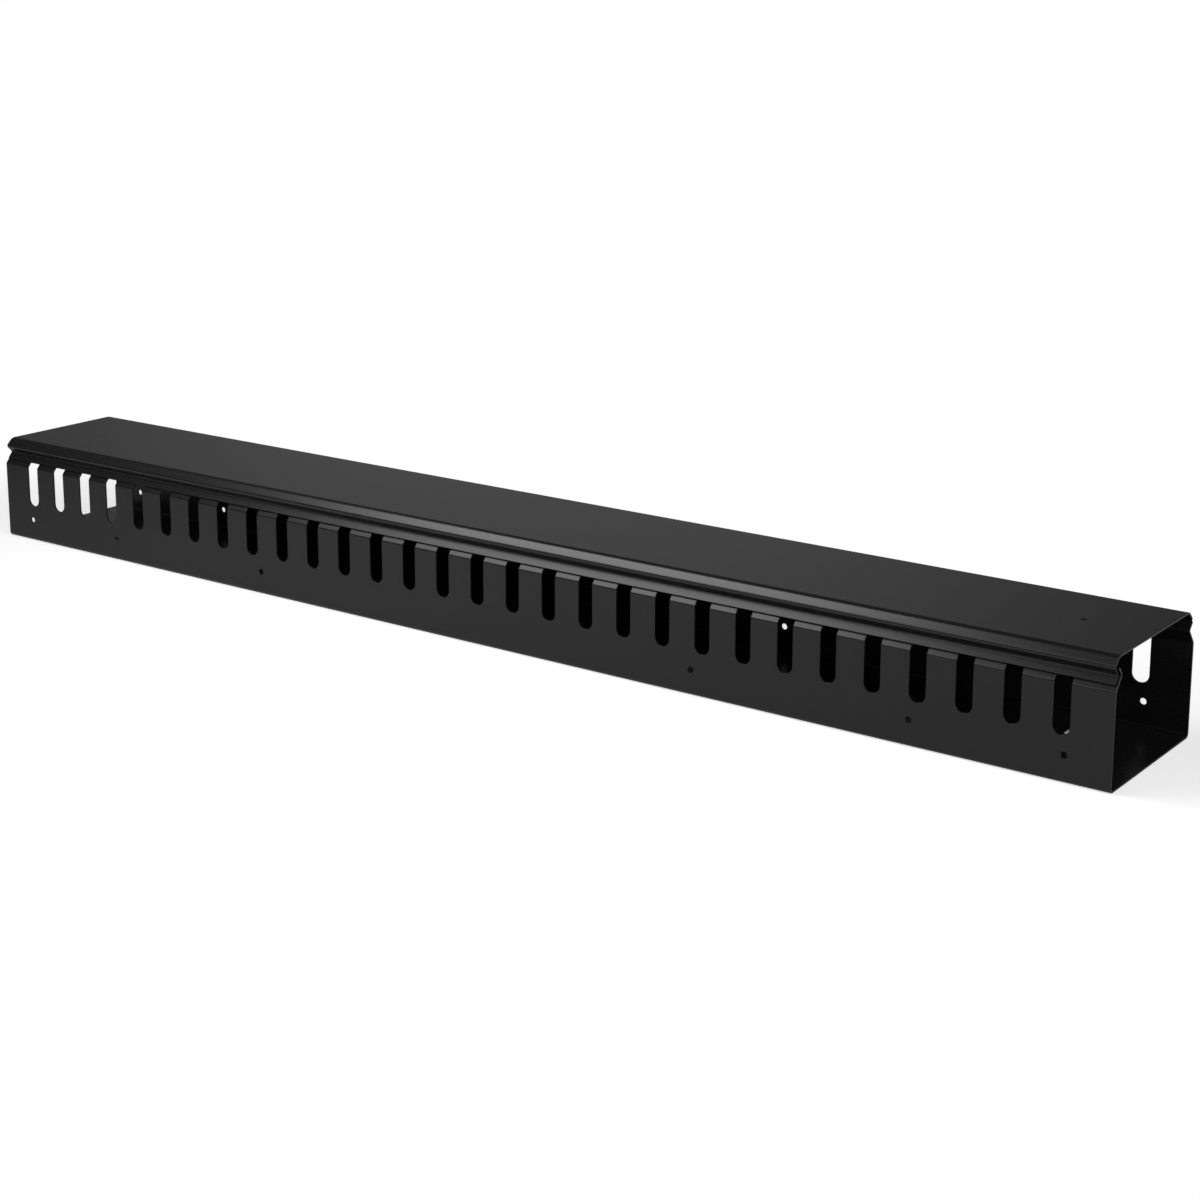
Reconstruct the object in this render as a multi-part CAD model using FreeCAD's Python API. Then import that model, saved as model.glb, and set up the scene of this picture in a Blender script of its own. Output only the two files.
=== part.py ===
"""Vertical cable manager: a slotted sheet-metal channel with a cover that snaps over its edges.

The part lies on its back. X runs along its length, Y across it and Z up from
the back towards the cover. The origin is the middle of the back's underside.
All sizes are in millimetres and all angles in degrees.
"""

import FreeCAD
import Part
import math
import os

# Overall size
LENGTH = 888.2
WIDTH = 107.95
HEIGHT = 75.1

# Sheet and bends
CHANNEL_SHEET = 1.2
COVER_SHEET = 1.2
BACK_BEND_RADIUS = 1.8
EDGE_BEND_RADIUS = 0.8
CROWN_BEND_RADIUS = 4.8

# Snap edge: the wall leans in above its shoulder to a throat, then out again
SHOULDER_DROP = 18.8
SHOULDER_LEAN = 39.0
THROAT_DEPTH = 6.65
RAIL_LEAN = 42.0
RAIL_LENGTH = 5.5

# Cover
SNAP_GAP = 0.3
COVER_END_INSET = 1.2
COVER_LIP_LENGTH = 5.55
BEVEL_FALL = 45.0
COVER_HOLE_DIAMETER = 3.5
COVER_HOLE_INSET = 41.6

# Cable slots in both side walls
SLOT_WIDTH = 10.5
SLOT_PITCH = 28.575
SLOT_END_MARGIN = 25.4
SLOT_FOOT_HEIGHT = 26.9
SLOT_HEAD_TO_THROAT = 0.8

# Round holes low in both side walls, measured from each end
SIDE_HOLE_DIAMETER = 4.0
SIDE_HOLE_HEIGHT = 16.0
SIDE_HOLE_INSETS = (27.3, 120.25, 266.3)

# Mounting slots in the back, a whole number of rack units apart
RACK_UNIT = 44.45
BACK_SLOT_INSET = 55.7
BACK_SLOT_WIDTH = 7.0
BACK_SLOT_LENGTH = 12.0
BACK_SLOT_ROW_SPACING = 42.0

# How far a cutting tool reaches past the face that it cuts
CUT_MARGIN = 5.0


def direction(angle):
    """Unit vector in the section plane, from an angle measured from +Y to +Z."""
    turn = math.radians(angle)
    return FreeCAD.Vector(0, math.cos(turn), math.sin(turn))


def right_of(heading):
    """Unit vector on the right-hand side of a heading in the section plane."""
    return FreeCAD.Vector(0, heading.z, -heading.y)


def heading_between(start, end):
    """Unit vector from one point to another."""
    step = end.sub(start)
    return step.multiply(1.0 / step.Length)


def lines_meet(start_a, heading_a, start_b, heading_b):
    """Point where two straight lines in the section plane cross."""
    across = start_b.sub(start_a)
    turn = heading_a.y * heading_b.z - heading_a.z * heading_b.y
    along = (across.y * heading_b.z - across.z * heading_b.y) / turn
    return start_a.add(FreeCAD.Vector(heading_a).multiply(along))


def shifted(path, distance):
    """The same path moved to its right, with its corners kept on both runs."""
    headings = [heading_between(a, b) for a, b in zip(path, path[1:])]
    moves = [right_of(heading).multiply(distance) for heading in headings]
    result = [path[0].add(moves[0])]
    for i in range(1, len(headings)):
        before = path[i].add(moves[i - 1])
        after = path[i].add(moves[i])
        result.append(lines_meet(before, headings[i - 1], after, headings[i]))
    result.append(path[-1].add(moves[-1]))
    return result


def rounded_edges(path, radii):
    """Straight runs joined by tangent arcs, one radius for each inner corner."""
    edges = []
    start = path[0]
    for corner, after, radius in zip(path[1:-1], path[2:], radii):
        arriving = heading_between(start, corner)
        leaving = heading_between(corner, after)
        half_turn = arriving.getAngle(leaving) / 2
        setback = radius * math.tan(half_turn)
        arc_start = corner.sub(FreeCAD.Vector(arriving).multiply(setback))
        arc_end = corner.add(FreeCAD.Vector(leaving).multiply(setback))
        inward = leaving.sub(arriving).normalize()
        to_arc = radius / math.cos(half_turn) - radius
        arc_middle = corner.add(inward.multiply(to_arc))
        edges.append(Part.LineSegment(start, arc_start).toShape())
        edges.append(Part.Arc(arc_start, arc_middle, arc_end).toShape())
        start = arc_end
    edges.append(Part.LineSegment(start, path[-1]).toShape())
    return edges


def turns_right(before, corner, after):
    """True where a path bends to its right at a corner."""
    ahead = after.sub(corner)
    return right_of(heading_between(before, corner)).dot(ahead) > 0


def folded_sheet(face_path, inside_radii, sheet, length):
    """Solid of a sheet folded along a path, with the sheet on the path's right."""
    back_path = shifted(face_path, sheet)
    face_radii = []
    back_radii = []
    for i, radius in enumerate(inside_radii, start=1):
        if turns_right(face_path[i - 1], face_path[i], face_path[i + 1]):
            face_radii.append(radius + sheet)
            back_radii.append(radius)
        else:
            face_radii.append(radius)
            back_radii.append(radius + sheet)
    edges = rounded_edges(face_path, face_radii)
    edges.append(Part.LineSegment(face_path[-1], back_path[-1]).toShape())
    edges += rounded_edges(back_path, back_radii)
    edges.append(Part.LineSegment(back_path[0], face_path[0]).toShape())
    outline = Part.Wire(Part.__sortEdges__(edges))
    section = Part.Face(outline)
    section.translate(FreeCAD.Vector(-length / 2, 0, 0))
    return section.extrude(FreeCAD.Vector(length, 0, 0))


def wall_point(depth, height):
    """Point of the near side's section, from its depth behind the wall's face."""
    return FreeCAD.Vector(0, -WIDTH / 2 + depth, height)


def mirrored(path):
    """The same path on the far side, in the opposite order."""
    return [FreeCAD.Vector(0, -point.y, point.z) for point in reversed(path)]


def near_snap_edge():
    """Outer face of the channel's near edge, from the shoulder to the rail's tip."""
    shoulder_height = HEIGHT - SHOULDER_DROP
    throat_height = shoulder_height + THROAT_DEPTH / math.tan(math.radians(SHOULDER_LEAN))
    throat = wall_point(THROAT_DEPTH, throat_height)
    rail = direction(90 + RAIL_LEAN).multiply(RAIL_LENGTH)
    return [wall_point(0, shoulder_height), throat, throat.add(rail)]


def near_cover_edge():
    """Outer face of the cover's near edge, from its lip to the crown's bend.

    It keeps the snap gap from the channel's edge, and its nose is in line with the wall.
    """
    lip, groove, rail = shifted(near_snap_edge(), -(SNAP_GAP + COVER_SHEET))
    lip_run = heading_between(groove, lip).multiply(COVER_LIP_LENGTH)
    wall_top = wall_point(0, HEIGHT)
    nose = lines_meet(groove, heading_between(groove, rail), wall_top, direction(90))
    crown = lines_meet(nose, direction(BEVEL_FALL), wall_top, direction(0))
    return [groove.add(lip_run), groove, nose, crown]


def slot_prism(width, length, depth):
    """Upright prism with round ends, its long axis on X and its middle at the origin."""
    half = (length - width) / 2
    slab = Part.makeBox(2 * half, width, depth, FreeCAD.Vector(-half, -width / 2, 0))
    for end in (-half, half):
        slab = slab.fuse(Part.makeCylinder(width / 2, depth, FreeCAD.Vector(end, 0, 0)))
    return slab.removeSplitter()


def spaced(count, pitch):
    """Places of a row of copies, centred on zero."""
    return [(i - (count - 1) / 2) * pitch for i in range(count)]


def cable_slot_cutters():
    """One cutter through both side walls for each pair of facing cable slots."""
    count = int((LENGTH - 2 * SLOT_END_MARGIN) / SLOT_PITCH) + 1
    head_height = near_snap_edge()[1].z - SLOT_HEAD_TO_THROAT
    reach = WIDTH + 2 * CUT_MARGIN
    cutter = slot_prism(SLOT_WIDTH, head_height - SLOT_FOOT_HEIGHT, reach)
    cutter.rotate(FreeCAD.Vector(), FreeCAD.Vector(0, 0, 1), 90)
    cutter.rotate(FreeCAD.Vector(), FreeCAD.Vector(1, 0, 0), 90)
    middle = FreeCAD.Vector(0, reach / 2, (head_height + SLOT_FOOT_HEIGHT) / 2)
    cutter.translate(middle)
    cutters = []
    for x in spaced(count, SLOT_PITCH):
        cutters.append(cutter.translated(FreeCAD.Vector(x, 0, 0)))
    return cutters


def side_hole_cutters():
    """One cutter through both side walls for each pair of facing round holes."""
    reach = WIDTH + 2 * CUT_MARGIN
    cutters = []
    for inset in SIDE_HOLE_INSETS:
        for x in spaced(2, LENGTH - 2 * inset):
            start = FreeCAD.Vector(x, -reach / 2, SIDE_HOLE_HEIGHT)
            hole = Part.makeCylinder(SIDE_HOLE_DIAMETER / 2, reach, start, FreeCAD.Vector(0, 1, 0))
            cutters.append(hole)
    return cutters


def back_slot_cutters():
    """Cutters for the mounting slots in the back, which run across the part."""
    units = int((LENGTH - 2 * BACK_SLOT_INSET) / RACK_UNIT)
    last = LENGTH / 2 - BACK_SLOT_INSET
    depth = CHANNEL_SHEET + 2 * CUT_MARGIN
    cutters = []
    for x in (last - units * RACK_UNIT, last):
        for y in spaced(2, BACK_SLOT_ROW_SPACING):
            cutter = slot_prism(BACK_SLOT_WIDTH, BACK_SLOT_LENGTH, depth)
            cutter.rotate(FreeCAD.Vector(), FreeCAD.Vector(0, 0, 1), 90)
            cutter.translate(FreeCAD.Vector(x, y, -CUT_MARGIN))
            cutters.append(cutter)
    return cutters


def slotted_channel():
    """The channel: back, two slotted walls and the snap edges that hold the cover."""
    near = [wall_point(0, 0)] + near_snap_edge()
    path = mirrored(near) + near
    edge_bends = [EDGE_BEND_RADIUS, EDGE_BEND_RADIUS]
    bends = edge_bends + [BACK_BEND_RADIUS, BACK_BEND_RADIUS] + edge_bends
    body = folded_sheet(path, bends, CHANNEL_SHEET, LENGTH)
    body = body.cut(side_hole_cutters() + back_slot_cutters())
    return body.cut(cable_slot_cutters())


def snap_cover():
    """The cover: a crowned sheet whose rolled edges grip the channel's rails."""
    near = near_cover_edge()
    path = near + mirrored(near)
    edge_bends = [EDGE_BEND_RADIUS, EDGE_BEND_RADIUS]
    bends = edge_bends + [CROWN_BEND_RADIUS, CROWN_BEND_RADIUS] + edge_bends
    length = LENGTH - 2 * COVER_END_INSET
    body = folded_sheet(path, bends, COVER_SHEET, length)
    start = FreeCAD.Vector(length / 2 - COVER_HOLE_INSET, 0, HEIGHT - COVER_SHEET - CUT_MARGIN)
    depth = COVER_SHEET + 2 * CUT_MARGIN
    return body.cut(Part.makeCylinder(COVER_HOLE_DIAMETER / 2, depth, start))


def save(name, shape):
    """Write one named piece as a STEP file."""
    solids = shape.Solids
    piece = solids[0] if len(solids) == 1 else Part.makeCompound(solids)
    piece.exportStep(os.path.join("parts", name + ".step"))
    box = piece.BoundBox
    print(name, "solids", len(solids), "valid", piece.isValid(), "volume", round(piece.Volume, 1))
    print("  X", round(box.XMin, 2), round(box.XMax, 2), "Y", round(box.YMin, 2), round(box.YMax, 2),
          "Z", round(box.ZMin, 2), round(box.ZMax, 2))


def main():
    """Build every piece and write it to the parts folder."""
    os.makedirs("parts", exist_ok=True)
    save("slotted_channel", slotted_channel())
    save("snap_cover", snap_cover())


main()
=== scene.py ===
"""Vertical cable manager in a plain studio.

A slotted sheet-metal channel lies on its back with its cover snapped over it,
both in black powder coat. Each sheet is made as in the shop: a flat blank is
cut to size, punched, folded over its bend lines and coated. Sizes are in
millimetres until a mesh is finished, and the scene itself is in metres.
"""

import logging
import math
from dataclasses import dataclass
from enum import Enum
from typing import Any, ClassVar, Iterable, Mapping, Optional, Sequence

import bmesh
import bpy
import numpy as np
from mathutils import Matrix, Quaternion, Vector
from mathutils.geometry import intersect_line_line


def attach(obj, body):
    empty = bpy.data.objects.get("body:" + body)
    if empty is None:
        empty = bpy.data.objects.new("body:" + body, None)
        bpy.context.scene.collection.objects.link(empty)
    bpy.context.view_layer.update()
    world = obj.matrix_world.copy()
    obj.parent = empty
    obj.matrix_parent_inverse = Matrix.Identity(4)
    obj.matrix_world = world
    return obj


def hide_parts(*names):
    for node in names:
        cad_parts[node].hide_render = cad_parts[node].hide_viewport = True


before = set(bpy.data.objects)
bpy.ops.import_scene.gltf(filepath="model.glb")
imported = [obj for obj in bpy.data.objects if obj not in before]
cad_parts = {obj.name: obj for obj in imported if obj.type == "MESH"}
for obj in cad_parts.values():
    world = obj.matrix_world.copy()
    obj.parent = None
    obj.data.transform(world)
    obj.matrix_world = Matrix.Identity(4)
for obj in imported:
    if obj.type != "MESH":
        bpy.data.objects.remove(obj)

LOG = logging.getLogger("cable_manager")
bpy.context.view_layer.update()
MM = 0.001
MERGE_DISTANCE = 1e-4
NOISE_MIDDLE = 0.5
WHITE_STRENGTH = 1.0
BOTH_SIDES = (-1.0, 1.0)

Pair = tuple[float, float]
Triple = tuple[float, float, float]


class Panel(Enum):
    """Part of a folded sheet that an opening is punched in."""

    NEAR_WALL = "near wall, measured by height"
    FLAT = "back or crown, measured across the part"
    FAR_WALL = "far wall, measured by height"


class Thickness(Enum):
    """Side of the outer face that a sheet's thickness lies on, at its flat panel.

    The value is the sign that grows the sheet that way, off faces that look up.
    """

    ABOVE = -1
    BELOW = 1


# Shader maths


class Graph:
    """A node tree that is written as plain Python expressions."""

    def __init__(self, tree: bpy.types.NodeTree) -> None:
        """Starts from an empty tree.

        Args:
            tree: Node tree of a material or a world. Its nodes are cleared.
        """
        self.tree = tree
        tree.nodes.clear()

    def node(
        self,
        kind: str,
        settings: Optional[Mapping[str, Any]] = None,
        inputs: Optional[Mapping[str, Any]] = None,
    ) -> bpy.types.Node:
        """Adds one node.

        Args:
            kind: Blender's type name of the node, without "ShaderNode".
            settings: The node's own properties, set before its sockets.
            inputs: A value, a Signal or a socket for each named input.

        Returns:
            The new node.
        """
        made = self.tree.nodes.new("ShaderNode" + kind)
        for name, value in (settings or {}).items():
            setattr(made, name, value)
        for name, value in (inputs or {}).items():
            self.feed(made.inputs[name], value)
        return made

    def feed(self, socket: bpy.types.NodeSocket, value: Any) -> None:
        """Links or sets one input socket.

        Args:
            socket: The input.
            value: A number, a tuple, a Signal or an output socket.
        """
        if isinstance(value, Signal):
            value = value.socket
        if isinstance(value, bpy.types.NodeSocket):
            self.tree.links.new(value, socket)
        else:
            socket.default_value = value

    def signal(self, node: bpy.types.Node, output: str) -> "Signal":
        """One output of a node as a Signal."""
        return Signal(self, node.outputs[output])

    def vector(self, operation: str, *operands: Any) -> bpy.types.Node:
        """Adds a VectorMath node.

        Args:
            operation: Blender's name of the operation.
            operands: A vector or a socket for each input.

        Returns:
            The node.
        """
        made = self.node("VectorMath", {"operation": operation})
        for socket, operand in zip(made.inputs, operands):
            self.feed(socket, operand)
        return made

    def fade(self, value: Any, span: Pair, ends: Pair) -> "Signal":
        """Adds a smooth fade.

        Args:
            value: The number that drives it, as a socket or a Signal.
            span: Where the fade starts and where it stops.
            ends: What it gives before its start and after its stop.

        Returns:
            The faded number.
        """
        inputs = {
            "Value": value,
            "From Min": span[0],
            "From Max": span[1],
            "To Min": ends[0],
            "To Max": ends[1],
        }
        made = self.node("MapRange", {"interpolation_type": "SMOOTHSTEP"}, inputs)
        return self.signal(made, "Result")


class Signal:
    """A number that varies over a surface, with Python's operators on it."""

    def __init__(self, graph: Graph, socket: bpy.types.NodeSocket) -> None:
        """Wraps an output socket of the graph."""
        self.graph = graph
        self.socket = socket

    def _math(self, operation: str, first: Any, second: Any) -> "Signal":
        """Adds a Math node.

        Args:
            operation: Blender's name of the operation.
            first: Number or Signal for the first input.
            second: Number or Signal for the second input.

        Returns:
            The node's result.
        """
        made = self.graph.node("Math", {"operation": operation})
        self.graph.feed(made.inputs[0], first)
        self.graph.feed(made.inputs[1], second)
        return self.graph.signal(made, "Value")

    def __add__(self, other: Any) -> "Signal":
        """Sum."""
        return self._math("ADD", self, other)

    def __radd__(self, other: Any) -> "Signal":
        """Sum with the number first."""
        return self._math("ADD", other, self)

    def __sub__(self, other: Any) -> "Signal":
        """Difference."""
        return self._math("SUBTRACT", self, other)

    def __rsub__(self, other: Any) -> "Signal":
        """Difference with the number first."""
        return self._math("SUBTRACT", other, self)

    def __mul__(self, other: Any) -> "Signal":
        """Product."""
        return self._math("MULTIPLY", self, other)

    def __rmul__(self, other: Any) -> "Signal":
        """Product with the number first."""
        return self._math("MULTIPLY", other, self)


# Finishes


@dataclass(frozen=True)
class PowderCoat:
    """Black fine-textured powder coat, baked onto sheet steel.

    Lengths are in metres. The swing of a value is how far the texture takes
    it to either side, and the detail of a noise is how many finer layers it
    has.
    """

    name: str = "black_powder_coat"
    base: Triple = (0.0090, 0.0090, 0.0093)
    mottle_length: float = 0.006
    mottle_detail: float = 3.0
    mottle_swing: float = 0.10
    roughness: float = 0.26
    roughness_swing: float = 0.04
    specular_level: float = 0.50
    grain_length: float = 0.00045
    grain_detail: float = 2.0
    grain_depth: float = 0.000006
    peel_length: float = 0.0024
    peel_detail: float = 1.0
    peel_depth: float = 0.00001

    def material(self) -> bpy.types.Material:
        """Makes the material.

        Returns:
            A material whose texture is fixed to the part.
        """
        made = bpy.data.materials.new(self.name)
        made.use_nodes = True
        graph = Graph(made.node_tree)
        place = graph.node("TexCoord").outputs["Object"]
        mottle = self._noise(graph, place, self.mottle_length, self.mottle_detail)
        grain = self._noise(graph, place, self.grain_length, self.grain_detail)
        peel = self._noise(graph, place, self.peel_length, self.peel_detail)
        colour = graph.node(
            "VectorMath",
            {"operation": "SCALE"},
            {"Vector": self.base, "Scale": 1.0 + self._swing(mottle, self.mottle_swing)},
        )
        relief = grain * self.grain_depth + peel * self.peel_depth
        bump = graph.node("Bump", inputs={"Height": relief, "Strength": 1.0, "Distance": 1.0})
        coat = graph.node(
            "BsdfPrincipled",
            inputs={
                "Base Color": colour.outputs["Vector"],
                "Roughness": self.roughness + self._swing(grain, self.roughness_swing),
                "Specular IOR Level": self.specular_level,
                "Normal": bump.outputs["Normal"],
            },
        )
        graph.node("OutputMaterial", inputs={"Surface": coat.outputs["BSDF"]})
        return made

    @staticmethod
    def _noise(graph: Graph, place: bpy.types.NodeSocket, length: float, detail: float) -> Signal:
        """Adds a noise between 0 and 1.

        Args:
            graph: The material's graph.
            place: Coordinates in metres.
            length: Size of the noise's largest spots, in metres.
            detail: How many finer layers it has.

        Returns:
            The noise.
        """
        inputs = {"Vector": place, "Scale": 1.0 / length, "Detail": detail}
        return graph.signal(graph.node("TexNoise", inputs=inputs), "Fac")

    @staticmethod
    def _swing(noise: Signal, reach: float) -> Signal:
        """The noise about 0 instead of its middle, and as far as the reach to either side."""
        return (noise - NOISE_MIDDLE) * (2.0 * reach)


@dataclass(frozen=True)
class PaleFloor:
    """Matt pale floor that looks nearly white to the camera and keeps shadows.

    Lengths are in metres. The floor fades to plain white with the distance
    from the part's own footprint, and is shaded inside it, where it shows
    through the mounting slots.

    Attributes:
        name: Name of the material.
        colour: Colour of the matt floor.
        lift: Glow that the camera alone sees on it.
        footprint: Half the part's length and width.
        fade: Distances from the footprint where the fade to white starts and stops.
        shaded_area: Half the length and width of the shade under the part.
        shade_edge: Distances from that area where the shade starts to thin and ends.
        shaded_lift: Share of the lift that is left in the shade.
    """

    name: str = "pale_floor"
    colour: tuple[float, float, float, float] = (0.80, 0.80, 0.80, 1.0)
    lift: float = 0.55
    footprint: Triple = (0.4441, 0.0540, 1.0)
    fade: Pair = (0.02, 0.22)
    shaded_area: Triple = (0.4360, 0.0460, 1.0)
    shade_edge: Pair = (0.0, 0.004)
    shaded_lift: float = 0.18

    def material(self) -> bpy.types.Material:
        """Makes the material.

        Returns:
            A matt material, lifted towards white for the camera alone.
        """
        made = bpy.data.materials.new(self.name)
        made.use_nodes = True
        graph = Graph(made.node_tree)
        seen = graph.signal(graph.node("LightPath"), "Is Camera Ray")
        matt = graph.node("BsdfDiffuse", inputs={"Color": self.colour}).outputs["BSDF"]
        glow = graph.node("Emission", inputs={"Strength": self.lift}).outputs["Emission"]
        white = graph.node("Emission", inputs={"Strength": WHITE_STRENGTH}).outputs["Emission"]
        both = graph.node("AddShader")
        graph.feed(both.inputs[0], matt)
        graph.feed(both.inputs[1], glow)
        from_shade = self._distance(graph, self.shaded_area)
        lifted = graph.fade(from_shade, self.shade_edge, (self.shaded_lift, 1.0))
        near = self._mix(graph, seen * lifted, matt, both.outputs["Shader"])
        from_part = self._distance(graph, self.footprint)
        faded = graph.fade(from_part, self.fade, (0.0, 1.0))
        far = self._mix(graph, seen * faded, near, white)
        graph.node("OutputMaterial", inputs={"Surface": far})
        return made

    @staticmethod
    def _mix(graph: Graph, factor: Signal, first: Any, second: Any) -> bpy.types.NodeSocket:
        """Adds a mix of two shaders.

        Args:
            graph: The material's graph.
            factor: Share of the second shader.
            first: Output of the first shader.
            second: Output of the second shader.

        Returns:
            The mix's output.
        """
        made = graph.node("MixShader", inputs={"Fac": factor})
        graph.feed(made.inputs[1], first)
        graph.feed(made.inputs[2], second)
        return made.outputs["Shader"]

    @staticmethod
    def _distance(graph: Graph, area: Triple) -> bpy.types.NodeSocket:
        """Adds the distance from a rectangle about the origin.

        Args:
            graph: The material's graph.
            area: Half the rectangle's size on each axis.

        Returns:
            The distance outside the rectangle, and 0 inside it.
        """
        place = graph.node("TexCoord").outputs["Object"]
        mirrored = graph.vector("ABSOLUTE", place).outputs["Vector"]
        beyond = graph.vector("SUBTRACT", mirrored, area).outputs["Vector"]
        outside = graph.vector("MAXIMUM", beyond, (0.0, 0.0, 0.0)).outputs["Vector"]
        return graph.vector("LENGTH", outside).outputs["Value"]


# Folded sheets


@dataclass(frozen=True)
class Bend:
    """Corner of a sheet's outer face, before it is rounded.

    Attributes:
        y: Place across the part.
        z: Height.
        radius: Radius of the outer face there.
    """

    y: float
    z: float
    radius: float = 0.0

    @property
    def corner(self) -> Vector:
        """The corner as a point of the section."""
        return Vector((0.0, self.y, self.z))

    def mirrored(self) -> "Bend":
        """The same corner on the far side."""
        return Bend(-self.y, self.z, self.radius)


class Section:
    """Outer face of a folded sheet, as a chain of points from near edge to far edge.

    Attributes:
        y: Each point's place across the part.
        z: Each point's height.
        stations: Each point's distance along the sheet.
        width: Width of the flat sheet.
        creases: Distances along the sheet of the points of its rounded corners.
    """

    FACET_ANGLE = math.radians(6.0)

    def __init__(self, bends: Sequence[Bend]) -> None:
        """Rounds every inner corner of the path.

        Args:
            bends: The path's corners, its two free ends included.
        """
        points = [bends[0].corner]
        creases: list[int] = []
        for before, bend, after in zip(bends, bends[1:], bends[2:]):
            arc = self._arc(before.corner, bend, after.corner)
            creases += range(len(points), len(points) + len(arc))
            points += arc
        points.append(bends[-1].corner)
        steps = [(b - a).length for a, b in zip(points, points[1:])]
        self.y = np.array([point.y for point in points])
        self.z = np.array([point.z for point in points])
        self.stations = np.concatenate(([0.0], np.cumsum(steps)))
        self.width = float(self.stations[-1])
        self.creases = [float(self.stations[i]) for i in creases]

    def _arc(self, before: Vector, bend: Bend, after: Vector) -> list[Vector]:
        """Rounds one corner.

        Args:
            before: Corner that the path comes from.
            bend: The corner.
            after: Corner that the path goes to.

        Returns:
            Points of the arc, both its ends included.
        """
        arriving = (bend.corner - before).normalized()
        leaving = (after - bend.corner).normalized()
        turn = arriving.angle(leaving)
        setback = bend.radius * math.tan(turn / 2)
        inward = (leaving - arriving).normalized()
        centre = bend.corner + inward * (bend.radius / math.cos(turn / 2))
        first = bend.corner - arriving * setback - centre
        last = bend.corner + leaving * setback - centre
        facets = math.ceil(turn / self.FACET_ANGLE)
        arc = []
        for i in range(facets + 1):
            part = turn * i / facets
            spoke = first * math.sin(turn - part) + last * math.sin(part)
            arc.append(centre + spoke / math.sin(turn))
        return arc

    def place(self, station: float) -> Pair:
        """Finds a point of the section.

        Args:
            station: Distance along the sheet from its near edge.

        Returns:
            The point's place across the part and its height.
        """
        y = np.interp(station, self.stations, self.y)
        z = np.interp(station, self.stations, self.z)
        return float(y), float(z)

    def station(self, panel: Panel, measure: float) -> float:
        """Distance along the sheet of a place on one of its panels.

        Args:
            panel: The panel.
            measure: Height on a wall, or place across the part on the flat.

        Returns:
            The distance from the sheet's near edge.
        """
        if panel is Panel.FLAT:
            return self.width / 2 + measure
        near = self.y <= 0.0
        order = np.argsort(self.z[near])
        found = float(np.interp(measure, self.z[near][order], self.stations[near][order]))
        return found if panel is Panel.NEAR_WALL else self.width - found


@dataclass(frozen=True)
class Opening:
    """Round or round-ended opening, with its long axis across the part.

    Attributes:
        panel: Panel that it is punched in.
        x: Place of its middle along the part.
        low: Its lower end, as the panel is measured.
        high: Its upper end.
        width: Its width along the part.
    """

    panel: Panel
    x: float
    low: float
    high: float
    width: float

    @classmethod
    def hole(cls, panel: Panel, x: float, middle: float, diameter: float) -> "Opening":
        """A round hole."""
        return cls(panel, x, middle - diameter / 2, middle + diameter / 2, diameter)


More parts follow.
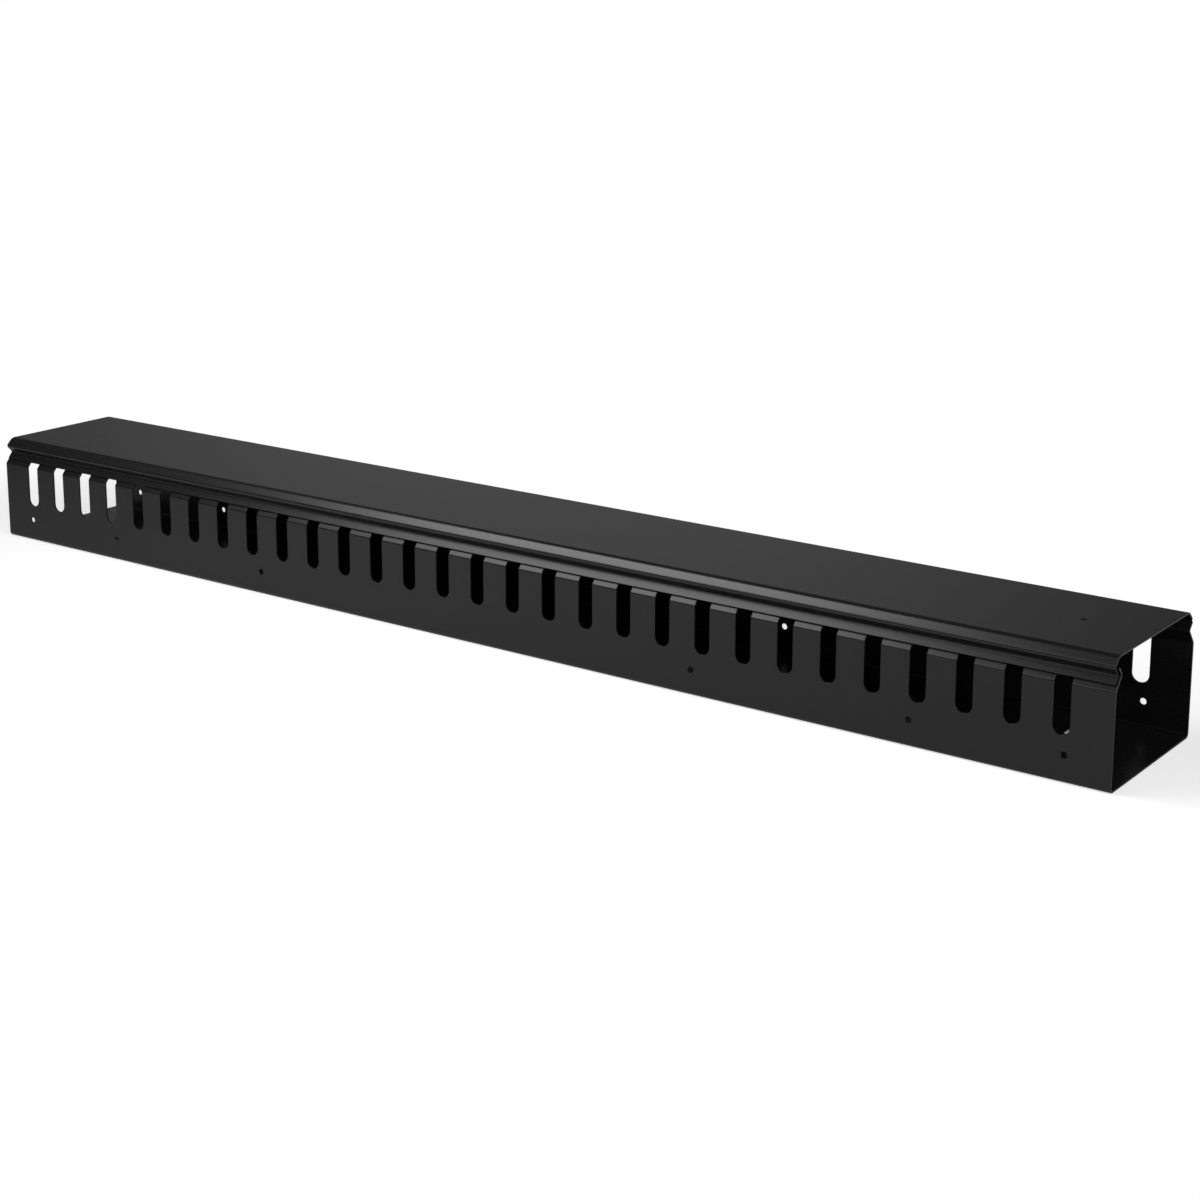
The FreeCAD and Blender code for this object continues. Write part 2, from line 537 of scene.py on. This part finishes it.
class Blank:
    """Flat blank of a sheet: cut to size, punched, then folded and thickened.

    While it is flat, X runs along the part and Y along the section.
    """

    ROUND_SEGMENTS = 32
    COLLAR = 0.24
    SOFT_EDGE = 0.18
    SOFT_EDGE_SEGMENTS = 2
    ROUND_PROFILE = 0.5
    SHARP_ANGLE = math.radians(50.0)

    def __init__(self, section: Section, length: float) -> None:
        """Cuts the blank to size.

        Args:
            section: Section that the sheet is folded to.
            length: Length of the sheet.
        """
        self.section = section
        self.bm = bmesh.new()
        bmesh.ops.create_grid(self.bm, x_segments=1, y_segments=1, size=0.5)
        bmesh.ops.scale(self.bm, vec=(length, section.width, 1.0), verts=self.bm.verts)
        bmesh.ops.translate(self.bm, vec=(0.0, section.width / 2, 0.0), verts=self.bm.verts)

    def divide(self, columns: Iterable[float], stations: Iterable[float]) -> None:
        """Divides the blank by straight lines.

        Args:
            columns: Places along the part of the lines that run across it.
            stations: Places along the section of the lines that run lengthwise.
        """
        for x in columns:
            self._cut(Vector((x, 0.0, 0.0)), Vector((1.0, 0.0, 0.0)))
        for station in stations:
            self._cut(Vector((0.0, station, 0.0)), Vector((0.0, 1.0, 0.0)))

    def _cut(self, place: Vector, normal: Vector) -> None:
        """Divides every face that a plane crosses.

        Args:
            place: Point of the plane.
            normal: Direction that the plane faces.
        """
        geom = [*self.bm.verts, *self.bm.edges, *self.bm.faces]
        bmesh.ops.bisect_plane(
            self.bm, geom=geom, dist=MERGE_DISTANCE, plane_co=place, plane_no=normal
        )

    def punch(self, opening: Opening) -> None:
        """Punches one opening, inside the one face that holds it.

        A narrow collar of even faces stays round the opening, so that its
        edges soften evenly.

        Args:
            opening: The opening, which no dividing line crosses yet.
        """
        middle = self.section.station(opening.panel, (opening.low + opening.high) / 2)
        cell = self._face_at(opening.x, middle)
        border = list(cell.edges)
        bmesh.ops.delete(self.bm, geom=[cell], context="FACES_ONLY")
        disc = self._disc(opening)
        collar = bmesh.ops.inset_individual(
            self.bm, faces=[disc], thickness=self.COLLAR, use_even_offset=True
        )["faces"]
        outline = [edge for face in collar for edge in face.edges if edge.is_boundary]
        bmesh.ops.delete(self.bm, geom=[disc], context="FACES_ONLY")
        for vert in {vert for face in collar for vert in face.verts}:
            vert.co.y = self.section.station(opening.panel, vert.co.y)
        bmesh.ops.triangle_fill(
            self.bm, edges=border + outline, use_beauty=True, normal=(0.0, 0.0, 1.0)
        )

    def _face_at(self, x: float, station: float) -> bmesh.types.BMFace:
        """Finds the face that holds a point of the blank.

        Args:
            x: The point's place along the part.
            station: Its place along the section.

        Returns:
            The face.
        """
        for face in self.bm.faces:
            xs = [vert.co.x for vert in face.verts]
            ys = [vert.co.y for vert in face.verts]
            if min(xs) < x < max(xs) and min(ys) < station < max(ys):
                return face
        raise ValueError(f"no face of the blank at {x:.1f}, {station:.1f}")

    def _disc(self, opening: Opening) -> bmesh.types.BMFace:
        """Adds a face the size of an opening and its collar.

        Args:
            opening: The opening.

        Returns:
            The face, with Y in the panel's own measure.
        """
        half_step = math.pi / self.ROUND_SEGMENTS
        radius = (opening.width / 2 + self.COLLAR) / math.cos(half_step)
        low_centre = opening.low + opening.width / 2
        high_centre = opening.high - opening.width / 2
        verts = bmesh.ops.create_circle(
            self.bm, cap_ends=True, segments=self.ROUND_SEGMENTS, radius=radius
        )["verts"]
        turned = [vert.co.copy() for vert in verts]
        for vert, co in zip(verts, turned):
            angle = math.atan2(co.y, co.x) + half_step
            centre = high_centre if math.sin(angle) > 0 else low_centre
            vert.co.x = opening.x + radius * math.cos(angle)
            vert.co.y = centre + radius * math.sin(angle)
        return verts[0].link_faces[0]

    def finish(self, thickness: float) -> None:
        """Folds the blank, gives it its thickness and softens its cut edges.

        Args:
            thickness: Thickness, above zero where it lies below the outer
                face on the flat panel and below zero where it lies above.
        """
        self.divide((), self.section.creases)
        bmesh.ops.remove_doubles(self.bm, verts=self.bm.verts, dist=MERGE_DISTANCE)
        bmesh.ops.recalc_face_normals(self.bm, faces=self.bm.faces)
        if self.bm.faces[:][0].normal.z < 0.0:
            bmesh.ops.reverse_faces(self.bm, faces=self.bm.faces)
        for vert in self.bm.verts:
            vert.co.y, vert.co.z = self.section.place(vert.co.y)
        self.bm.normal_update()
        bmesh.ops.solidify(self.bm, geom=self.bm.faces[:], thickness=thickness)
        bmesh.ops.recalc_face_normals(self.bm, faces=self.bm.faces)
        sharp = [
            edge
            for edge in self.bm.edges
            if len(edge.link_faces) == 2 and edge.calc_face_angle() > self.SHARP_ANGLE
        ]
        bmesh.ops.bevel(
            self.bm,
            geom=sharp,
            affect="EDGES",
            offset=self.SOFT_EDGE,
            offset_type="OFFSET",
            segments=self.SOFT_EDGE_SEGMENTS,
            profile=self.ROUND_PROFILE,
            material=-1,
            clamp_overlap=False,
            loop_slide=False,
        )

    def mesh(self, name: str) -> bpy.types.Mesh:
        """Ends the work on the blank.

        Args:
            name: Name of the mesh.

        Returns:
            The finished mesh, in metres.
        """
        bmesh.ops.scale(self.bm, vec=(MM, MM, MM), verts=self.bm.verts)
        for face in self.bm.faces:
            face.smooth = True
        made = bpy.data.meshes.new(name)
        self.bm.to_mesh(made)
        self.bm.free()
        return made


@dataclass
class SnapEdge:
    """Edge of the channel that the cover snaps over, on the near side.

    The wall leans in above its shoulder to a throat, and out again as a rail.
    Leans are in degrees from upright.

    Attributes:
        width: Width of the channel over its walls.
        height: Height of the closed part.
        shoulder_drop: How far the shoulder is below that height.
        shoulder_lean: Lean of the run from the shoulder to the throat.
        throat_depth: How far the throat is behind the wall's outer face.
        rail_lean: Lean of the rail.
        rail_length: Length of the rail.
    """

    width: float = 107.95
    height: float = 75.1
    shoulder_drop: float = 18.8
    shoulder_lean: float = 39.0
    throat_depth: float = 6.65
    rail_lean: float = 42.0
    rail_length: float = 5.5

    def wall_point(self, depth: float, height: float) -> Vector:
        """Point of the section, from its depth behind the wall's outer face."""
        return Vector((0.0, depth - self.width / 2, height))

    def corners(self) -> list[Vector]:
        """Works out the channel's outer face.

        Returns:
            Its shoulder, throat and rail tip.
        """
        shoulder = self.wall_point(0.0, self.height - self.shoulder_drop)
        rise = self.throat_depth / math.tan(math.radians(self.shoulder_lean))
        throat = shoulder + Vector((0.0, self.throat_depth, rise))
        lean = math.radians(self.rail_lean)
        tip = throat + Vector((0.0, -math.sin(lean), math.cos(lean))) * self.rail_length
        return [shoulder, throat, tip]

    def outside(self, distance: float) -> list[Vector]:
        """The same corners on a face that lies further out.

        Args:
            distance: Distance from the channel's outer face.

        Returns:
            A point level with the shoulder, the groove, and a point level
            with the rail's tip.
        """
        shoulder, throat, tip = self.corners()
        runs = []
        for start, end in ((shoulder, throat), (throat, tip)):
            along = (end - start).normalized()
            out = Vector((0.0, -along.z, along.y)) * distance
            runs.append((start + out, end + out))
        groove = intersect_line_line(*runs[0], *runs[1])[0]
        return [runs[0][0], groove, runs[1][1]]


@dataclass
class FoldedSheet:
    """One folded sheet, which takes the place of a node of the frame.

    Attributes:
        edge: The snap edge, which both sheets follow.
        length: Length of the sheet.
        sheet: Thickness of the sheet.
        bend_radius: Inside radius of its tight bends.
        room: Distance from a round hole's middle to the dividing lines beside it.
    """

    edge: SnapEdge
    length: float
    sheet: float = 1.2
    bend_radius: float = 0.8
    room: float = 6.0

    name: ClassVar[str] = ""
    node: ClassVar[str] = ""
    body: ClassVar[str] = ""
    slot: ClassVar[str] = ""
    thickness_side: ClassVar[Thickness] = Thickness.ABOVE

    @property
    def proud_radius(self) -> float:
        """Radius of the outer face at a bend that stands proud."""
        return self.bend_radius + self.sheet

    def near_bends(self) -> list[Bend]:
        """Corners of the outer face on the near side, from the free edge inwards."""
        raise NotImplementedError

    def openings(self) -> list[Opening]:
        """Every opening of the sheet."""
        raise NotImplementedError

    def columns(self) -> list[float]:
        """Dividing lines across the part, which keep the openings apart."""
        raise NotImplementedError

    def rows(self, section: Section) -> list[float]:
        """Dividing lines along the part, which keep the openings apart."""
        raise NotImplementedError

    def build(self, finish: bpy.types.Material) -> bpy.types.Object:
        """Makes the sheet and gives it its finish.

        Args:
            finish: The material.

        Returns:
            The object, which rides on its body and stands for its node.
        """
        near = self.near_bends()
        section = Section(near + [bend.mirrored() for bend in reversed(near)])
        blank = Blank(section, self.length)
        blank.divide(self.columns(), self.rows(section))
        for opening in self.openings():
            blank.punch(opening)
        blank.finish(self.sheet * self.thickness_side.value)
        made = bpy.data.objects.new(self.name, blank.mesh(self.name))
        made.data.materials.append(finish)
        bpy.context.scene.collection.objects.link(made)
        shading = made.modifiers.new("even_shading", "WEIGHTED_NORMAL")
        shading.mode = "FACE_AREA"
        shading.keep_sharp = False
        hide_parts(self.node)
        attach(made, self.body)
        return made


@dataclass
class SlottedChannel(FoldedSheet):
    """The channel: its back, two slotted walls and the edges that hold the cover.

    Attributes:
        back_bend_radius: Inside radius of the bends between back and walls.
        slot_pitch: Distance from one cable slot to the next.
        slot_count: Number of cable slots in each wall.
        slot_width: Width of a cable slot.
        slot_foot: Height of the cable slots' lower end.
        slot_head_to_throat: How far their upper end is below the throat.
        side_hole_diameter: Diameter of the walls' round holes.
        side_hole_height: Height of those holes.
        side_hole_insets: Their distances from each end of the channel.
        back_slot_inset: Distance of the back's last slots from the right end.
        back_slot_span: Distance along the part between the back's slots.
        back_slot_width: Width of the back's slots.
        back_slot_length: Length of the back's slots, across the part.
        back_slot_offset: Distance of the back's slots from its middle line.
        back_slot_room: Distance from their ends to the dividing lines.
    """

    length: float = 888.2
    back_bend_radius: float = 1.8
    slot_pitch: float = 28.575
    slot_count: int = 30
    slot_width: float = 10.5
    slot_foot: float = 26.9
    slot_head_to_throat: float = 0.8
    side_hole_diameter: float = 4.0
    side_hole_height: float = 16.0
    side_hole_insets: tuple[float, ...] = (27.3, 120.25, 266.3)
    back_slot_inset: float = 55.7
    back_slot_span: float = 755.65
    back_slot_width: float = 7.0
    back_slot_length: float = 12.0
    back_slot_offset: float = 21.0
    back_slot_room: float = 2.0

    name: ClassVar[str] = "channel_sheet"
    node: ClassVar[str] = "slotted_channel"
    body: ClassVar[str] = "channel"
    slot: ClassVar[str] = "channel_finish"
    thickness_side: ClassVar[Thickness] = Thickness.ABOVE
    walls: ClassVar[tuple[Panel, Panel]] = (Panel.NEAR_WALL, Panel.FAR_WALL)

    def near_bends(self) -> list[Bend]:
        """Works out the near side of the outer face.

        Returns:
            Rail tip, throat, shoulder and back bend.
        """
        shoulder, throat, tip = self.edge.corners()
        back = self.edge.wall_point(0.0, 0.0)
        return [
            Bend(tip.y, tip.z),
            Bend(throat.y, throat.z, self.bend_radius),
            Bend(shoulder.y, shoulder.z, self.proud_radius),
            Bend(back.y, back.z, self.back_bend_radius + self.sheet),
        ]

    def slot_places(self) -> list[float]:
        """Places of the cable slots along the part."""
        first = -(self.slot_count - 1) / 2 * self.slot_pitch
        return [first + i * self.slot_pitch for i in range(self.slot_count)]

    def side_hole_places(self) -> list[float]:
        """Places of the round holes along the part."""
        ends = [self.length / 2 - inset for inset in self.side_hole_insets]
        return [-x for x in ends] + ends

    def back_slot_places(self) -> list[float]:
        """Places of the back's mounting slots along the part."""
        last = self.length / 2 - self.back_slot_inset
        return [last - self.back_slot_span, last]

    def back_slot_rows(self) -> list[float]:
        """Places of the back's mounting slots across the part."""
        return [side * self.back_slot_offset for side in BOTH_SIDES]

    @property
    def slot_head(self) -> float:
        """Height of the cable slots' upper end, just below the throat."""
        return self.edge.corners()[1].z - self.slot_head_to_throat

    def openings(self) -> list[Opening]:
        """Lists the openings of the walls and the back.

        Returns:
            Each wall's cable slots and round holes, and then the back's slots.
        """
        made = []
        for wall in self.walls:
            for x in self.slot_places():
                made.append(Opening(wall, x, self.slot_foot, self.slot_head, self.slot_width))
            for x in self.side_hole_places():
                made.append(Opening.hole(wall, x, self.side_hole_height, self.side_hole_diameter))
        half = self.back_slot_length / 2
        for x in self.back_slot_places():
            for y in self.back_slot_rows():
                made.append(Opening(Panel.FLAT, x, y - half, y + half, self.back_slot_width))
        return made

    def columns(self) -> list[float]:
        """Divides the cable slots from each other.

        Returns:
            A line halfway between every two, and one outside each end one.
        """
        half = self.slot_pitch / 2
        places = self.slot_places()
        return [places[0] - half] + [x + half for x in places]

    def rows(self, section: Section) -> list[float]:
        """Divides the cable slots, the side holes and the back's slots from each other.

        Args:
            section: The channel's section.

        Returns:
            Lines on both sides of each row of openings, as distances along
            the sheet. The line above the cable slots is where the throat's
            bend ends.
        """
        made = []
        for wall in self.walls:
            for side in BOTH_SIDES:
                made.append(section.station(wall, self.side_hole_height + side * self.room))
        throat_end = max(
            crease
            for crease in section.creases
            if crease < section.width / 2 and section.place(crease)[1] > self.slot_head
        )
        made += [throat_end, section.width - throat_end]
        reach = self.back_slot_length / 2 + self.back_slot_room
        for row in self.back_slot_rows():
            made += [section.station(Panel.FLAT, row + side * reach) for side in BOTH_SIDES]
        return made


@dataclass
class SnapCover(FoldedSheet):
    """The cover: a crowned sheet whose rolled edges grip the channel's rails.

    Attributes:
        snap_gap: Gap between the cover and the channel's edge.
        lip_length: Length of the lip that lies over the shoulder.
        bevel_fall: Slope of the bevel, in degrees.
        crown_bend_radius: Inside radius of the bend from the bevel to the crown.
        hole_diameter: Diameter of the small hole.
        hole_inset: Its distance from the cover's right end.
    """

    length: float = 885.8
    snap_gap: float = 0.3
    lip_length: float = 5.55
    bevel_fall: float = 45.0
    crown_bend_radius: float = 4.8
    hole_diameter: float = 3.5
    hole_inset: float = 41.6

    name: ClassVar[str] = "cover_sheet"
    node: ClassVar[str] = "snap_cover"
    body: ClassVar[str] = "cover"
    slot: ClassVar[str] = "cover_finish"
    thickness_side: ClassVar[Thickness] = Thickness.BELOW

    def near_bends(self) -> list[Bend]:
        """Works out the near side of the outer face.

        Returns:
            Lip, groove, nose and crown.
        """
        shoulder, groove, tip = self.edge.outside(self.snap_gap + self.sheet)
        lip = groove + (shoulder - groove).normalized() * self.lip_length
        wall_foot = self.edge.wall_point(0.0, 0.0)
        wall_top = self.edge.wall_point(0.0, self.edge.height)
        nose = intersect_line_line(groove, tip, wall_foot, wall_top)[0]
        run = (self.edge.height - nose.z) / math.tan(math.radians(self.bevel_fall))
        crown = wall_top + Vector((0.0, run, 0.0))
        return [
            Bend(lip.y, lip.z),
            Bend(groove.y, groove.z, self.bend_radius),
            Bend(nose.y, nose.z, self.proud_radius),
            Bend(crown.y, crown.z, self.crown_bend_radius + self.sheet),
        ]

    @property
    def hole_place(self) -> float:
        """Place of the small hole along the part."""
        return self.length / 2 - self.hole_inset

    def openings(self) -> list[Opening]:
        """The small hole near the right end, on the crown's middle line."""
        return [Opening.hole(Panel.FLAT, self.hole_place, 0.0, self.hole_diameter)]

    def columns(self) -> list[float]:
        """A line on each side of the hole."""
        return [self.hole_place + side * self.room for side in BOTH_SIDES]

    def rows(self, section: Section) -> list[float]:
        """A line in front of the hole and one behind it."""
        return [section.station(Panel.FLAT, side * self.room) for side in BOTH_SIDES]


# Studio


@dataclass(frozen=True)
class Softbox:
    """Rectangular soft lamp, with or without a grid. Lengths are in metres.

    Attributes:
        name: Name of the lamp.
        place: Its middle.
        aim: Point that it faces.
        size: Its width and height.
        radiance: Brightness of its face seen straight on, where 1 is white.
        turn: How far it is turned in its own plane, in degrees.
        spread: Whole angle that its grid lets light into, in degrees. It is
            180 without a grid.
    """

    name: str
    place: Triple
    aim: Triple
    size: Pair
    radiance: float
    turn: float = 0.0
    spread: float = 180.0

    @property
    def grid_share(self) -> float:
        """Share of the lamp's power that gets past its grid."""
        half = math.radians(self.spread) / 2
        return 1.0 - half / math.tan(half)

    def build(self) -> bpy.types.Object:
        """Makes the lamp.

        Returns:
            The lamp, which the camera doesn't see.
        """
        data = bpy.data.lights.new(self.name, "AREA")
        data.shape = "RECTANGLE"
        data.size, data.size_y = self.size
        data.spread = math.radians(self.spread)
        data.energy = self.radiance * self.grid_share * math.pi * self.size[0] * self.size[1]
        made = bpy.data.objects.new(self.name, data)
        bpy.context.scene.collection.objects.link(made)
        made.location = self.place
        facing = Vector(self.aim) - Vector(self.place)
        turn = Quaternion((0.0, 0.0, 1.0), math.radians(self.turn))
        made.rotation_euler = (facing.to_track_quat("-Z", "Y") @ turn).to_euler()
        made.visible_camera = False
        return made


OVERHEAD_SOFTBOX = Softbox(
    name="overhead_softbox",
    place=(-0.65, -0.61, 1.09),
    aim=(0.14, -0.44, 0.07),
    size=(1.22, 0.66),
    radiance=5.2,
    turn=-25.0,
    spread=100.0,
)
SIDE_FILL = Softbox(
    name="side_fill",
    place=(1.25, -0.30, 0.75),
    aim=(0.30, -0.10, 0.0),
    size=(0.80, 0.80),
    radiance=3.0,
)
FRONT_FILL = Softbox(
    name="front_fill",
    place=(-0.15, -0.80, 0.60),
    aim=(-0.15, -0.15, 0.0),
    size=(0.50, 0.40),
    radiance=4.4,
    spread=80.0,
)


@dataclass
class Studio:
    """White studio: camera, soft lamps, pale floor and a backdrop that glows behind the part.

    Lengths are in metres. The surround's fade is given as the height of a
    direction, from 0 at the horizon to 1 overhead, and the backdrop's as how
    nearly a direction points at its middle, where 1 is straight at it.

    Attributes:
        eye: Place of the camera.
        aim: Point that the camera faces, before its shift.
        lens: Focal length, in millimetres.
        shift: Shift of the picture, as a share of its width.
        clip: Nearest and furthest distance that the camera sees.
        floor_size: Length of the floor's sides.
        surround_low: Light of the surround near the horizon, where 1 is white.
        surround_high: Its light high up.
        surround_fade: Heights between which it changes.
        backdrop_glow: Light that the backdrop adds at its middle.
        backdrop_toward: Direction of its middle.
        backdrop_fade: How nearly a direction points there at its edge and its middle.
        lamps: The soft lamps.
    """

    eye: Triple = (0.8722, -1.0975, 0.4350)
    aim: Triple = (0.0, 0.0821, 0.1219)
    lens: float = 66.1
    shift: Pair = (0.0117, -0.1495)
    clip: Pair = (0.01, 100.0)
    floor_size: float = 30.0
    surround_low: float = 0.13
    surround_high: float = 0.06
    surround_fade: Pair = (0.15, 0.50)
    backdrop_glow: float = 0.15
    backdrop_toward: Triple = (-0.58, 0.77, 0.265)
    backdrop_fade: Pair = (0.955, 1.0)
    lamps: tuple[Softbox, ...] = (OVERHEAD_SOFTBOX, SIDE_FILL, FRONT_FILL)

    def build(self) -> list[bpy.types.Object]:
        """Builds the whole studio.

        Returns:
            The camera, the floor and the lamps.
        """
        made = [self.build_camera(), self.build_floor()]
        self.build_surround()
        return made + [lamp.build() for lamp in self.lamps]

    def build_camera(self) -> bpy.types.Object:
        """Makes the camera at the photograph's viewing angle.

        Returns:
            The camera, which is the scene's own.
        """
        data = bpy.data.cameras.new("camera")
        data.lens = self.lens
        data.sensor_fit = "HORIZONTAL"
        data.shift_x, data.shift_y = self.shift
        data.clip_start, data.clip_end = self.clip
        made = bpy.data.objects.new("camera", data)
        bpy.context.scene.collection.objects.link(made)
        made.location = self.eye
        facing = Vector(self.aim) - Vector(self.eye)
        made.rotation_euler = facing.to_track_quat("-Z", "Y").to_euler()
        bpy.context.scene.camera = made
        return made

    def build_floor(self) -> bpy.types.Object:
        """Makes the plain pale floor that the part lies on.

        Returns:
            The floor, which isn't a piece of the part.
        """
        bm = bmesh.new()
        bmesh.ops.create_grid(bm, x_segments=1, y_segments=1, size=self.floor_size / 2)
        mesh = bpy.data.meshes.new("floor")
        bm.to_mesh(mesh)
        bm.free()
        mesh.materials.append(PaleFloor().material())
        made = bpy.data.objects.new("floor", mesh)
        bpy.context.scene.collection.objects.link(made)
        return made

    def build_surround(self) -> bpy.types.World:
        """Makes the surround: white to the camera, and a soft light low down otherwise.

        Returns:
            The world.
        """
        world = bpy.data.worlds.new("surround")
        bpy.context.scene.world = world
        world.use_nodes = True
        graph = Graph(world.node_tree)
        seen = graph.signal(graph.node("LightPath"), "Is Camera Ray")
        direction = graph.node("TexCoord").outputs["Generated"]
        height = graph.node("SeparateXYZ", inputs={"Vector": direction}).outputs["Z"]
        room = graph.fade(height, self.surround_fade, (self.surround_low, self.surround_high))
        toward = graph.vector("DOT_PRODUCT", direction, self.backdrop_toward).outputs["Value"]
        glow = graph.fade(toward, self.backdrop_fade, (0.0, self.backdrop_glow))
        strength = seen * WHITE_STRENGTH + (1.0 - seen) * (room + glow)
        light = graph.node("Background", inputs={"Strength": strength})
        graph.feed(light.inputs["Color"], (1.0, 1.0, 1.0, 1.0))
        graph.node("OutputWorld", inputs={"Surface": light.outputs["Background"]})
        return world


def main() -> None:
    """Builds the cable manager and its studio, and reports each piece."""
    logging.basicConfig(level=logging.INFO, format="%(name)s: %(message)s")
    bpy.context.scene.view_settings.view_transform = "Standard"
    coat = PowderCoat().material()
    edge = SnapEdge()
    for sheet in (SlottedChannel(edge), SnapCover(edge)):
        made = sheet.build(coat)
        openings, faces = len(sheet.openings()), len(made.data.polygons)
        LOG.info("%s: %d openings, %d faces", made.name, openings, faces)
    for made in Studio().build():
        LOG.info("%s: at %s", made.name, tuple(round(place, 3) for place in made.location))


if __name__ == "__main__":
    main()
